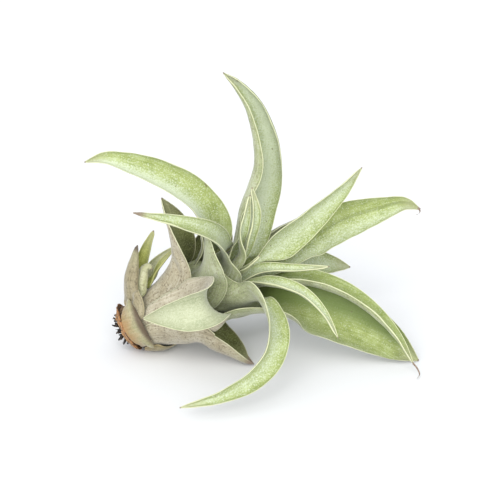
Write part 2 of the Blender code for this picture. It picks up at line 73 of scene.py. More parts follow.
def linear(hex_colour):
    """An sRGB hex colour as linear red, green, blue and alpha."""
    channels = [int(hex_colour[k:k + 2], 16) / 255 for k in (0, 2, 4)]
    return [c / 12.92 if c <= 0.04045 else ((c + 0.055) / 1.055) ** 2.4 for c in channels] + [1.0]


def new_material(name, roughness, sheen=0.0):
    """A material and its Principled shader, whose even values are on the shader's own sockets."""
    mat = bpy.data.materials.new(name)
    mat.use_nodes = True
    shader = mat.node_tree.nodes["Principled BSDF"]
    shader.inputs["Roughness"].default_value = roughness
    shader.inputs["IOR"].default_value = PLANT_IOR
    shader.inputs["Sheen Weight"].default_value = sheen
    shader.inputs["Sheen Roughness"].default_value = SHEEN_ROUGHNESS
    return mat, shader


def add_node(mat, kind, settings=(), out=0, **links):
    """Adds a node and gives one of its outputs, by its name or number.

    A link is a socket, a value or a hex colour. It goes by the input's name, with _
    for a space, or by its number, as in6.
    """
    node = mat.node_tree.nodes.new(kind)
    for key, value in dict(settings).items():
        setattr(node, key, value)
    for key, value in links.items():
        socket = node.inputs[int(key[2:])] if key[2:].isdigit() else node.inputs[key.replace("_", " ")]
        if isinstance(value, bpy.types.NodeSocket):
            mat.node_tree.links.new(value, socket)
        else:
            socket.default_value = linear(value) if isinstance(value, str) else value
    return node.outputs[out]


SMOOTH = {"interpolation_type": "SMOOTHSTEP"}


def layered(mat, colour, layers):
    """A colour with others laid over it in turn, each by its own amount.

    An amount is a socket, or a socket followed by its value where the layer begins, its
    value where the layer is full, and how much of the layer shows there.
    """
    for amount, over in layers:
        if isinstance(amount, tuple):
            guide, begin, full, most = amount
            amount = add_node(
                mat, "ShaderNodeMapRange", SMOOTH, Value=guide, From_Min=begin, From_Max=full, To_Max=most,
            )
        colour = add_node(
            mat, "ShaderNodeMix", {"data_type": "RGBA"}, out=2, Factor=amount, in6=colour, in7=over,
        )
    return colour


def finish(mat, shader, colour, height, relief):
    """Joins a colour to a shader, and the relief in mm that a height between 0 and 1 stands for."""
    mat.node_tree.links.new(colour, shader.inputs["Base Color"])
    bumps = add_node(mat, "ShaderNodeBump", Strength=1.0, Distance=relief * MM, Height=height)
    mat.node_tree.links.new(bumps, shader.inputs["Normal"])
    return mat


def corky_bark():
    """Cork-like stem bark: dry and matt, grey-brown and worn, with darker cracks 2 mm apart."""
    mat, shader = new_material("corky_bark", roughness=0.9)
    place = add_node(mat, "ShaderNodeTexCoord", out="Object")
    cracks = add_node(mat, "ShaderNodeTexNoise", Vector=place, Scale=1 / (2.2 * MM), Detail=8.0)
    grain = add_node(mat, "ShaderNodeTexNoise", Vector=place, Scale=1 / (0.5 * MM), Detail=4.0)
    colour = layered(mat, "644E37", [
        ((cracks, 0.55, 0.35, 1.0), "2F2217"),
        ((grain, 0.5, 0.7, 1.0), "8A7459"),
    ])
    return finish(mat, shader, colour, cracks, 0.5)


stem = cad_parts["stem"]
for stem_slot in stem.material_slots:
    stem_slot.material = corky_bark()

# Roots: a rough dark pad on the stem's cut face, and the dead stubs of old roots
# that stand out of it, each bent and frayed into finer fibres.
PAD_PLACE = -4.9
PAD_RADIUS = 7.6
PAD_DEPTH = 0.8
PAD_GRAIN = 1.2
PAD_ROUGHNESS = 0.5
STUBS = 22
STUB_SPREAD = 6.4
STUB_RADIUS = 0.8
STUB_TAPER = 0.45
STUB_LENGTH = (2.8, 5.0)
STUB_LEAN = (20.0, 72.0)
FULL_LEAN_OUT = 8.0
STUB_BEND = 0.25
STUB_SEED = 4
FIBRES = 5
FIBRE_RADIUS = 0.22
FIBRE_TAPER = 0.3
FIBRE_SHARE = (0.3, 0.54)
FIBRE_SPREAD = 0.5
FIBRE_BEND = 0.5
GOLDEN_ANGLE = 137.5


def unit(v):
    v = np.asarray(v, float)
    return v / np.linalg.norm(v)


def axis_directions():
    """The plant's axis, the way up from it, and the way towards the side that shows."""
    rise, swing = math.radians(AXIS_RISE), math.radians(AXIS_SWING)
    axis = np.array([math.cos(rise) * math.cos(swing), math.cos(rise) * math.sin(swing), math.sin(rise)])
    up = unit(np.array([0.0, 0.0, 1.0]) - axis * axis[2])
    return axis, up, np.cross(axis, up)


AXIS, UP, NEAR = axis_directions()


def outward(around):
    angle = math.radians(around)
    return math.cos(angle) * UP + math.sin(angle) * NEAR


def on_plant(along, out, around):
    return ROOT + AXIS * along + outward(around) * out


def tube(bm, points, radii, sides=7):
    """Adds a closed tube through points in mm, with a radius at each."""
    points = [Vector(p) * MM for p in points]
    turn = (points[1] - points[0]).to_track_quat("Z", "X").to_matrix().to_4x4()
    ring = bmesh.ops.create_circle(
        bm, cap_ends=True, segments=sides, radius=radii[0] * MM,
        matrix=Matrix.Translation(points[0]) @ turn,
    )
    cap = ring["verts"][0].link_faces[0]
    for start, end, before, after in zip(points, points[1:], radii, radii[1:]):
        grown = bmesh.ops.extrude_face_region(bm, geom=[cap])["geom"]
        cap = next(item for item in grown if isinstance(item, bmesh.types.BMFace))
        bmesh.ops.translate(bm, verts=cap.verts[:], vec=end - start)
        bmesh.ops.scale(bm, verts=cap.verts[:], vec=[after / before] * 3, space=Matrix.Translation(-end))


def bent(rng, base, direction, length, bend, steps=6):
    """Points along a root or fibre that bends to one side as it grows."""
    side = unit(np.cross(direction, [rng.gauss(0, 1) for _ in range(3)]))
    t = np.linspace(0.0, 1.0, steps + 1)[:, None]
    return base + length * (t * direction + bend * t ** 2 * side)


def root_mesh():
    """The pad, the stubs where their solids are, and the fibres that fray from them."""
    rng = random.Random(STUB_SEED)
    bm = bmesh.new()
    turn = Vector(AXIS).to_track_quat("Z", "X").to_matrix().to_4x4()
    size = Matrix.Diagonal((PAD_RADIUS * MM, PAD_RADIUS * MM, PAD_DEPTH * MM, 1.0))
    place = Matrix.Translation(Vector(on_plant(PAD_PLACE, 0.0, 0.0)) * MM) @ turn @ size
    bmesh.ops.create_icosphere(bm, subdivisions=5, radius=1.0, matrix=place)
    for v in bm.verts:
        rough = noise.fractal(v.co / (PAD_GRAIN * MM), 1.0, 2.0, 3)
        v.co -= Vector(AXIS) * PAD_ROUGHNESS * rough * MM
    for k in range(STUBS):
        around = k * GOLDEN_ANGLE
        out = STUB_SPREAD * math.sqrt((k + 0.5) / STUBS)
        lean = math.radians(rng.uniform(*STUB_LEAN)) * out / FULL_LEAN_OUT
        base = on_plant(PAD_PLACE, out, around)
        direction = -AXIS * math.cos(lean) + outward(around) * math.sin(lean)
        length = rng.uniform(*STUB_LENGTH)
        path = bent(rng, base, direction, length, STUB_BEND)
        tube(bm, path, np.linspace(STUB_RADIUS, STUB_RADIUS * STUB_TAPER, len(path)))
        for _ in range(FIBRES):
            start = path[rng.randint(0, len(path) - 3)]
            way = unit(direction + FIBRE_SPREAD * np.array([rng.gauss(0, 1) for _ in range(3)]))
            fibre = bent(rng, start, way, rng.uniform(*FIBRE_SHARE) * length, FIBRE_BEND)
            tube(bm, fibre, np.linspace(FIBRE_RADIUS, FIBRE_RADIUS * FIBRE_TAPER, len(fibre)), sides=5)
    return bm


def dry_root_skin():
    """Dead, dry root: near black where it is whole and brown where its outer skin has worn off."""
    mat, shader = new_material("dry_root_skin", roughness=0.85)
    place = add_node(mat, "ShaderNodeTexCoord", out="Object")
    patches = add_node(mat, "ShaderNodeTexNoise", Vector=place, Scale=1 / (1.6 * MM), Detail=5.0)
    colour = layered(mat, "1C1611", [((patches, 0.5, 0.68, 1.0), "5A4B3C")])
    return finish(mat, shader, colour, patches, 0.3)


def dress_mesh(name, bm, material):
    """A mesh from a closed bmesh, its faces turned outwards and smooth, with its material."""
    bmesh.ops.recalc_face_normals(bm, faces=bm.faces[:])
    mesh = bpy.data.meshes.new(name)
    bm.to_mesh(mesh)
    bm.free()
    mesh.shade_smooth()
    mesh.materials.append(material)
    return mesh


def add_piece(name, mesh, node):
    """Puts a finished mesh in the scene in place of its solid."""
    piece = bpy.data.objects.new(name, mesh)
    bpy.context.scene.collection.objects.link(piece)
    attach(piece, "root")
    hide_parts(node)


add_piece("root_tuft", dress_mesh("root_tuft", root_mesh(), dry_root_skin()), "roots")

# Collar: the papery remains of lost leaves round the root end, as thin orange-brown
# sheets, one inside the other. Each is torn to a ragged pale edge on the root side.
COLLAR_STEM = [(-5.4, 8.4), (-4.0, 8.4), (-2.5, 10.4), (-1.5, 10.9)]
SHEETS = 7
SHEET_SEED = 11
SHEET_SPAN = (250, 345)
SHEET_THICKNESS = 0.2
SHEET_FRONT = -1.55
SHEET_BACK = (-2.5, -4.9)
SHEET_END = -5.3
SHORTEST_SHEET = 0.4
SHEET_INNER = 0.4
SHEET_STEP = 0.27
SHEET_ROWS = 14
SHEET_COLS = 220
TEAR_DEPTH = 0.5
TEAR_WAVES = (2, 5, 11, 23, 41)
TEAR_FADING = 0.6
TORN_EDGE = 0.6
TORN_SHARE = 0.3
CRUMPLE = 0.6
CRUMPLE_RING = 6
CRUMPLE_APART = 3
CRUMPLE_ALONG = 0.7


def slab_grid(rows, cols):
    """A closed slab of grid cells, with the row, column and side of each of its corners."""
    bm = bmesh.new()
    bmesh.ops.create_grid(bm, x_segments=cols, y_segments=rows, size=1.0)
    slab = bmesh.ops.extrude_face_region(bm, geom=bm.faces[:], use_keep_orig=True)
    under = [item for item in slab["geom"] if isinstance(item, bmesh.types.BMVert)]
    bmesh.ops.translate(bm, verts=under, vec=(0.0, 0.0, -1.0))
    x, y, z = np.array([v.co for v in bm.verts]).T
    row = np.rint((y + 1) / 2 * rows).astype(int)
    col = np.rint((x + 1) / 2 * cols).astype(int)
    return bm, row, col, z < -0.5


def shape_bmesh(bm, points, values):
    """Moves the corners of a bmesh to points in mm, and gives each its named values."""
    layers = [(bm.verts.layers.float.new(name), value) for name, value in values.items()]
    for k, v in enumerate(bm.verts):
        v.co = Vector(points[k]) * MM
        for layer, value in layers:
            v[layer] = value[k]


def ragged(rng, turns):
    """A ragged line round the plant, of waves drawn at random, the finer ones lower."""
    line = np.zeros_like(turns)
    for n in TEAR_WAVES:
        line += rng.uniform(0.5, 1.0) * np.sin(n * turns + rng.uniform(0, 6)) / n ** TEAR_FADING
    return line


def crumpled(turns, along, k):
    """How far a sheet is crumpled outwards, at each place on it."""
    across, aside = CRUMPLE_RING * np.cos(turns), CRUMPLE_RING * np.sin(turns)
    places = zip(across, aside, CRUMPLE_APART * k + CRUMPLE_ALONG * along)
    return CRUMPLE * np.array([noise.fractal(Vector(place), 0.8, 2.0, 3) for place in places])


def torn_sheet(rng, k):
    """One sheet of the collar, counted from the outermost."""
    bm, row, col, under = slab_grid(SHEET_ROWS, SHEET_COLS)
    start, span = rng.uniform(0, 360), rng.uniform(*SHEET_SPAN)
    angle = start + span * col / SHEET_COLS
    turns = np.radians(angle)
    first, last = SHEET_BACK
    back = first + (last - first) * k / (SHEETS - 1) + TEAR_DEPTH * ragged(rng, turns)
    back = np.clip(back, SHEET_END, SHEET_FRONT - SHORTEST_SHEET)
    along = SHEET_FRONT + (back - SHEET_FRONT) * row / SHEET_ROWS
    edge = along - back
    stem_out = np.interp(along, *np.array(COLLAR_STEM).T)
    lift = crumpled(turns, along, k) * np.clip(row / SHEET_ROWS * 2, 0, 1)
    out = stem_out + SHEET_INNER + SHEET_STEP * (SHEETS - 1 - k) + lift
    thinning = TORN_SHARE + (1 - TORN_SHARE) * np.clip(edge / TORN_EDGE, 0, 1)
    out = out + np.where(under, 0.0, SHEET_THICKNESS * thinning)
    points = np.array([on_plant(*at) for at in zip(along, out, angle)])
    shape_bmesh(bm, points, {"edge": edge})
    return bm


def dry_leaf_paper():
    """Dry papery leaf remains: orange-brown and fibrous, bleached along the torn edges."""
    mat, shader = new_material("dry_leaf_paper", roughness=0.75)
    place = add_node(mat, "ShaderNodeTexCoord", out="Object")
    stains = add_node(mat, "ShaderNodeTexNoise", Vector=place, Scale=1 / (3.0 * MM), Detail=5.0)
    fibres = add_node(mat, "ShaderNodeTexNoise", Vector=place, Scale=1 / (0.4 * MM), Detail=3.0)
    edge = add_node(mat, "ShaderNodeAttribute", {"attribute_name": "edge"}, out="Fac")
    colour = layered(mat, "8F6135", [
        ((stains, 0.44, 0.58, 1.0), "3C2614"),
        ((fibres, 0.45, 0.7, 0.6), "A9825C"),
        ((edge, 0.4, 0.05, 0.9), "A98A66"),
    ])
    return finish(mat, shader, colour, fibres, 0.2)


sheet_rng = random.Random(SHEET_SEED)
paper = dry_leaf_paper()
for k in range(SHEETS):
    name = f"collar_sheet_{k}"
    add_piece(name, dress_mesh(name, torn_sheet(sheet_rng, k), paper), "dry_collar")

# The oldest leaves: two short scales at the root end, one under the plant and one
# that wraps its near side as a belt. A leaf is thick and leathery, 1.1 mm at its
# base and 0.7 mm at its tip, and its margins thin out to a rim, painted pale: partly
# the margin's own paleness and partly painted highlight.
BASE_THICKNESS = 1.1
TIP_THICKNESS = 0.7
TIP_HALF_WIDTH = 0.3
SEAT_CLASP = 0.8
SEAT_RUN = 0.1
FLARE = 1.1
OPEN_END = 1.15
TURN = (0.35, 1.1)
TIP_FOLD = (0.05, 0.45)
MIDRIB_STEPS = 200
CURVE_STEPS = 40
FINE_ROWS = 160
FINE_COLS = 40
NARROW_LEAF = 6.0
NARROW_SHARE = 0.5
MATCH = 0.02
MOST_SLIDE = 12.0
WAVE_SHARES = (0.15, 0.25, 0.35, 0.45)
WAVE_RUNS = (0.2, 0.1)
MARGIN_WAVE = 0.28
MARGIN_WAVELENGTH = 14.0
BLADE_WAVE = 0.16
BLADE_WAVELENGTH = 9.0
UNDER_WAVE = 0.7
VEIN_DEPTH = 0.05
VEIN_SPACING = 1.5
CREASE_WIDTH = 0.7
CREASE_LINE = 0.4
CREASE_SHADE = 0.6
RIM_SHARE = 0.12
RIM_POWER = 5
POINT_SHARE = 0.25
POINT_RUN = 0.05
FLOOR_GAP = 0.3
WORN_TIP = "8B8A6A"
SCAR = "5C4E34"


@dataclass
class Leaf:
    """A leaf. Angles are in degrees. Round the axis, 0 is up and 90 is the side that the plant shows.

    The silver band is the middle and reach of a band of bloom across the leaf, from -1 to 1,
    and its strength. Below 0 the bloom is thinned and a deeper green is painted over the leaf,
    which on the broad low leaf is painted shade from the leaf above it.
    crease is a crease's place across the leaf and its depth, and dried is the length of
    its dead tip.
    """

    name: str
    around: float
    sheath: list
    blade: list
    clasp: float
    width: float
    fold: float = 55.0
    tip_fold: float = 0.0
    throat: float = 0.35
    hug: float = 0.5
    taper: float = 2.0
    twist: tuple = (0.0, 0.0)
    face: tuple = ()
    turn: tuple = ()
    rows: int = 16
    cols: int = 6
    silver: tuple = (0.0, 0.8, 0.35)
    crease: tuple = (0.0, 0.0)
    dried: float = 0.7


def smooth(x):
    x = np.clip(x, 0.0, 1.0)
    return x * x * (3 - 2 * x)


def plant_place(points):
    """Distance along the axis, distance out from it, and the outward direction, of each point."""
    away = points - ROOT
    along = away @ AXIS
    away = away - along[..., None] * AXIS
    out = np.linalg.norm(away, axis=-1)
    return along, out, away / np.maximum(out, 1e-6)[..., None]


def curve_span(p):
    """The centripetal Catmull-Rom span from p[1] to p[2]."""
    t = np.cumsum([0.0] + [math.sqrt(np.linalg.norm(b - a)) for a, b in zip(p[:-1], p[1:])])
    x = np.linspace(t[1], t[2], CURVE_STEPS, endpoint=False)[:, None]

    def blend(a, b, start, end):
        return a * (end - x) / (end - start) + b * (x - start) / (end - start)

    first = [blend(p[k], p[k + 1], t[k], t[k + 1]) for k in range(3)]
    second = [blend(first[k], first[k + 1], t[k], t[k + 2]) for k in range(2)]
    return blend(second[0], second[1], t[1], t[2])


def curve_through(points, count):
    """A smooth line through the points, cut into count equal steps."""
    p = np.array(points, float)
    p = np.vstack([2 * p[0] - p[1], p, 2 * p[-1] - p[-2]])
    line = np.vstack([curve_span(p[k:k + 4]) for k in range(len(p) - 3)] + [p[-2:-1]])
    run = np.concatenate([[0.0], np.cumsum(np.linalg.norm(np.diff(line, axis=0), axis=1))])
    even = np.linspace(0.0, run[-1], count + 1)
    return np.stack([np.interp(even, run, line[:, k]) for k in range(3)], axis=1)


def carried_normals(tangents, first):
    """first, carried along the line without twisting round it."""
    normals = []
    for tangent in tangents:
        first = unit(first - tangent * (first @ tangent))
        normals.append(first)
    return np.array(normals)


def midrib(leaf):
    """The leaf's midrib, with its tangents and the normals of its upper face."""
    seat = [on_plant(along, out, leaf.around) for along, out in leaf.sheath]
    line = curve_through(seat + [np.array(p, float) for p in leaf.blade], MIDRIB_STEPS)
    tangents = np.gradient(line, axis=0)
    tangents /= np.linalg.norm(tangents, axis=1)[:, None]
    return line, tangents, carried_normals(tangents, -outward(leaf.around))


def turned_normals(leaf, tangents, normals, s, u):
    """Turns the upper face about the midrib, by the leaf's twist and to the way that its blade faces."""
    first, last = leaf.twist
    turn = np.radians(first * smooth(s / leaf.throat) + (last - first) * smooth(u))
    side = np.cross(tangents, normals)
    if leaf.face:
        ease = smooth(u)[:, None]
        want = unit(leaf.face[0]) * (1 - ease) + unit(leaf.face[1]) * ease
        angle = np.unwrap(np.arctan2((want * side).sum(axis=1), (want * normals).sum(axis=1)))
        start, end = leaf.turn or (TURN[0] * leaf.throat, TURN[1] * leaf.throat)
        angle -= 2 * math.pi * round(angle[np.argmax(s >= end)] / (2 * math.pi))
        turn = turn + angle * smooth((s - start) / (end - start))
    return normals * np.cos(turn)[:, None] + side * np.sin(turn)[:, None]


def cross_sections(leaf, line, s, u):
    """The half width and half angle of the arc that the leaf's section follows, along the midrib."""
    fold = math.radians(leaf.fold)
    grip = math.radians(leaf.clasp) * (SEAT_CLASP + (1 - SEAT_CLASP) * smooth(s / SEAT_RUN))
    hugging = grip * np.minimum(plant_place(line)[1], FLARE * leaf.sheath[-1][1])
    opening = leaf.hug * leaf.throat
    blend = smooth((s - opening) / (OPEN_END * leaf.throat - opening))
    width = hugging + (leaf.width - hugging) * blend
    width = width * (1 - u ** leaf.taper) + TIP_HALF_WIDTH * u ** leaf.taper
    angle = grip + (fold - grip) * blend
    if leaf.tip_fold:
        start, end = TIP_FOLD
        angle = angle + (math.radians(leaf.tip_fold) - fold) * smooth((u - start) / (end - start))
    return np.maximum(width, TIP_HALF_WIDTH), angle


def leaf_sheet(leaf, rows, across):
    """The leaf's upper face at even rows from base to tip and at places across it from -1 to 1."""
    line, tangents, normals = midrib(leaf)
    s = np.linspace(0.0, 1.0, MIDRIB_STEPS + 1)
    u = np.clip((s - leaf.throat) / (1 - leaf.throat), 0.0, 1.0)
    normals = turned_normals(leaf, tangents, normals, s, u)
    sides = np.cross(tangents, normals)
    width, angle = cross_sections(leaf, line, s, u)
    length = np.linalg.norm(np.diff(line, axis=0), axis=1).sum()

    def at_rows(values):
        at = np.linspace(0.0, 1.0, rows + 1)
        return np.stack([np.interp(at, s, v) for v in values.T], axis=1)[:, None, :]

    line, normals, sides = at_rows(line), at_rows(normals), at_rows(sides)
    width, angle = at_rows(width[:, None]), at_rows(angle[:, None])
    phi = across[None, :, None] * angle
    sheet = line + width / angle * (np.sin(phi) * sides + (1 - np.cos(phi)) * normals)
    return sheet, np.cos(phi) * normals - np.sin(phi) * sides, width[:, :, 0], length


def slide_of_solid(leaf):
    """How far the leaf's solid was slid towards the axis, at each of its own rows and columns."""
    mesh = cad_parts[leaf.name].data
    solid = np.empty(3 * len(mesh.vertices))
    mesh.vertices.foreach_get("co", solid)
    solid = solid.reshape(-1, 3) / MM
    sheet = leaf_sheet(leaf, leaf.rows, np.linspace(-1.0, 1.0, leaf.cols + 1))[0]
    away = plant_place(sheet)[2]
    slide = np.zeros(sheet.shape[:2])
    for at in np.ndindex(slide.shape):
        gap = sheet[at] - solid
        inward = gap @ away[at]
        aside = np.linalg.norm(gap - inward[:, None] * away[at], axis=1)
        found = inward[(aside < MATCH) & (inward > -MATCH) & (inward < MOST_SLIDE)]
        slide[at] = found.max() if len(found) else 0.0
    return slide


def read_smoothly(values, at):
    """Evenly spaced rows of values, read at places from 0 to 1 along a smooth curve through them."""
    last = len(values) - 1
    x = np.clip(at * last, 0.0, last - 1e-6)
    k = x.astype(int)
    f = (x - k)[:, None]
    a, b, c, d = (values[np.clip(k + step, 0, last)] for step in (-1, 0, 1, 2))
    return b + 0.5 * f * (c - a + f * (2 * a - 5 * b + 4 * c - d + f * (3 * (b - c) + d - a)))


def waves(rng, at, length, shortest):
    """A slow, even wander between about -1 and 1 along a leaf, from four waves drawn at random."""
    total = np.zeros_like(at)
    for k, share in enumerate(WAVE_SHARES):
        wave = shortest * (1 + k) * rng.uniform(0.8, 1.2)
        total += math.sqrt(share) * np.sin(2 * math.pi * (at * length / wave + rng.random()))
    return total[:, None]


def leaf_relief(leaf, at, across, width, length):
    """How far the upper face rises: wavy margins, a slow wave down the middle, veins and a crease."""
    rng = random.Random(leaf.name)
    run_in, run_out = WAVE_RUNS
    open_blade = smooth((at - leaf.throat) / run_in)[:, None] * smooth((1 - at) / run_out)[:, None]
    left = waves(rng, at, length, MARGIN_WAVELENGTH)
    right = waves(rng, at, length, MARGIN_WAVELENGTH)
    relief = MARGIN_WAVE * np.where(across < 0, left, right) * np.abs(across) ** 3 * open_blade
    middle = waves(rng, at, length, BLADE_WAVELENGTH)
    relief = relief + BLADE_WAVE * middle * (1 - across ** 2) * open_blade
    relief = relief + VEIN_DEPTH * np.cos(2 * math.pi * across * width / VEIN_SPACING)
    place, depth = leaf.crease
    return relief - depth * np.exp(-(((across - place) * width / CREASE_WIDTH) ** 2)) * open_blade


def leaf_faces(leaf, rows, across):
    """The upper and lower faces of a leaf on its fine grid, with its half width and its length."""
    at = np.linspace(0.0, 1.0, rows + 1)
    sheet, normals, width, length = leaf_sheet(leaf, rows, across)
    slide = read_smoothly(read_smoothly(slide_of_solid(leaf), at).T, (across + 1) / 2).T
    sheet = sheet - plant_place(sheet)[2] * slide[..., None]
    relief = leaf_relief(leaf, at, across, width, length)
    thickness = BASE_THICKNESS + (TIP_THICKNESS - BASE_THICKNESS) * at[:, None]
    thickness = thickness * (RIM_SHARE + (1 - RIM_SHARE) * np.sqrt(1 - np.abs(across) ** RIM_POWER))
    thickness = thickness * (POINT_SHARE + (1 - POINT_SHARE) * smooth((1 - at) / POINT_RUN)[:, None])
    upper = sheet + normals * relief[..., None]
    return upper, sheet + normals * (relief * UNDER_WAVE - thickness)[..., None], width, length


def grow(leaf, skin):
    """Grows one leaf on a fine grid, with what its skin needs to know at each point of it."""
    share = NARROW_SHARE if leaf.width < NARROW_LEAF else 1.0
    rows, cols = round(FINE_ROWS * share), round(FINE_COLS * share)
    across = np.sin(np.linspace(-0.5, 0.5, cols + 1) * math.pi)
    upper, lower, width, length = leaf_faces(leaf, rows, across)
    bm, row, col, under = slab_grid(rows, cols)
    points = np.where(under[:, None], lower[row, col], upper[row, col])
    points[:, 2] = np.maximum(points[:, 2], np.where(under, 0.0, FLOOR_GAP))
    at, side, half_width = row / rows, across[col], width[row, 0]
    middle, reach, strength = leaf.silver
    crease, depth = leaf.crease
    shape_bmesh(bm, points, {
        "under": under,
        "rim": (1 - np.abs(side)) * half_width,
        "from_root": plant_place(points)[0],
        "to_tip": (1 - at) * length,
        "dried": (1 - at) * length / leaf.dried,
        "silver": strength * np.exp(-(((side - middle) / reach) ** 2)),
        "creased": CREASE_SHADE * (depth > 0) * np.exp(-(((side - crease) * half_width / CREASE_LINE) ** 2)),
    })
    flat = np.stack([side * half_width, at * length], axis=1) * MM
    along_leaf = bm.loops.layers.uv.new("along_leaf")
    bm.verts.index_update()
    for face in bm.faces:
        for loop in face.loops:
            loop[along_leaf].uv = flat[loop.vert.index]
    add_piece(leaf.name + "_blade", dress_mesh(leaf.name, bm, skin), leaf.name)


def leaf_skin(
    name, upper, lower, base="94743C", tip="6E5A4E", rim="CBCCA6", fleck="665C44", flecks=0.5,
    frost="B5BDA4", frost_under="BAB6A8", shade="5A6636", painted_shade_green="57692A",
):
    """A thick, waxy leaf skin under a bloom of tiny silver scales, which make it matt and pale.

    Its scales are drawn 0.7 mm wide, though the real ones are half that, so that they show.
    """
    mat, shader = new_material(name, roughness=0.62, sheen=0.25)
    place = add_node(mat, "ShaderNodeTexCoord", out="Object")
    on_leaf = add_node(mat, "ShaderNodeUVMap", {"uv_map": "along_leaf"})
    drawn_out = add_node(
        mat, "ShaderNodeMapping", Vector=on_leaf, Scale=(1 / (0.9 * MM), 1 / (20 * MM), 1.0),
    )
    clouds = add_node(
        mat, "ShaderNodeTexNoise", Vector=place, Scale=1 / (7.0 * MM), Detail=4.0, Roughness=0.6,
    )
    fibres = add_node(mat, "ShaderNodeTexNoise", Vector=drawn_out, Scale=1.0, Detail=3.0, Roughness=0.6)
    scales = add_node(
        mat, "ShaderNodeTexNoise", Vector=place, Scale=1 / (0.7 * MM), Detail=3.0, Roughness=0.6,
    )
    spots = add_node(mat, "ShaderNodeTexNoise", Vector=place, Scale=1 / (1.1 * MM), Detail=2.0)
    scars = add_node(mat, "ShaderNodeTexNoise", Vector=place, Scale=1 / (3.0 * MM), Detail=3.0)
    under, rim_near, from_root, to_tip, dried, silver, creased = (
        add_node(mat, "ShaderNodeAttribute", {"attribute_name": field}, out="Fac")
        for field in ("under", "rim", "from_root", "to_tip", "dried", "silver", "creased")
    )
    tone = add_node(mat, "ShaderNodeMix", {"data_type": "FLOAT"}, Factor=0.5, in2=clouds, in3=fibres)
    bloom = add_node(mat, "ShaderNodeMath", {"operation": "ADD"}, in0=scales, in1=silver)
    worn = add_node(
        mat, "ShaderNodeMath", {"operation": "MULTIPLY_ADD"}, in0=clouds, in1=-10.0, in2=from_root,
    )
    upper_face = layered(mat, upper[0], [
        ((tone, 0.38, 0.5, 1.0), upper[1]),
        ((tone, 0.5, 0.62, 1.0), upper[2]),
        ((bloom, 0.48, 1.1, 0.9), frost),
        ((scales, 0.52, 0.68, 0.55), frost),
    ])
    lower_face = layered(mat, lower[0], [
        ((tone, 0.38, 0.5, 1.0), lower[1]),
        ((tone, 0.5, 0.62, 1.0), lower[2]),
        ((scales, 0.52, 0.68, 0.55), frost_under),
        ((spots, 0.54, 0.68, flecks), fleck),
    ])
    colour = layered(mat, upper_face, [
        # painted shade: a deeper green where the silver band's strength is below 0
        ((silver, -0.1, -0.9, 0.9), painted_shade_green),
        (under, lower_face),
        ((rim_near, 1.3, 0.6, 0.35), shade),
        (creased, shade),
        ((to_tip, 16.0, 2.0, 0.55), WORN_TIP),
        ((worn, 0.0, -7.0, 0.75), base),
        ((scars, 0.7, 0.75, 0.75), SCAR),
        # a pale rim along the margins: partly the margin's own paleness, partly painted highlight
        ((rim_near, 0.45, 0.1, 0.7), rim),
        ((dried, 1.5, 0.5, 0.85), tip),
    ])
    relief = add_node(mat, "ShaderNodeMath", {"operation": "ADD"}, in0=fibres, in1=scales)
    return finish(mat, shader, colour, relief, 0.12)


OCHRE_SKIN = leaf_skin(
    "dried_scale_skin", upper=("5A5A30", "6A683C", "7A7649"), lower=("655A32", "776C42", "8B7E54"),
    base="8A6736", tip="4C3624", rim="A59570", fleck="54482C", flecks=0.65,
    frost_under="9A8E6A", shade="57502C",
)
BELT_SKIN = leaf_skin(
    "dried_belt_skin", upper=("6C6B38", "757144", "827D50"), lower=("67663A", "887E58", "A59A7C"),
    base="8A6434", tip="3E2819", rim="A99E80", fleck="5E5038", flecks=0.7,
    frost_under="AEA694", shade="756A4C",
)
# the old leaves' skin: its inner face is painted dark olive, with a darker bloom, as painted shade
OLD_SHADED_SKIN = leaf_skin(
    "old_leaf_skin", upper=("3C4016", "4C511F", "606530"), lower=("837961", "978F77", "ABA48F"),
    frost="84885A", fleck="5E523C", flecks=0.7, frost_under="B6AF9C", shade="6E6850",
)
SCALE_UNDER = Leaf(
    "scale_under", 195, [(-1, 13.5), (5, 16.6), (12, 19.4), (19, 21.6)], [],
    clasp=68, width=12, fold=50, throat=0.6, taper=1.6, rows=10, cols=10,
)
SCALE_SIDE = Leaf(
    "scale_side", 74, [(-1.2, 12.6), (3, 15), (6, 16.3), (9, 17.3)], [],
    clasp=55, width=16, fold=55, tip_fold=44, throat=0.35, hug=0.9, taper=3, rows=10, cols=12,
    dried=3.0,
)
grow(SCALE_UNDER, OCHRE_SKIN)
grow(SCALE_SIDE, BELT_SKIN)

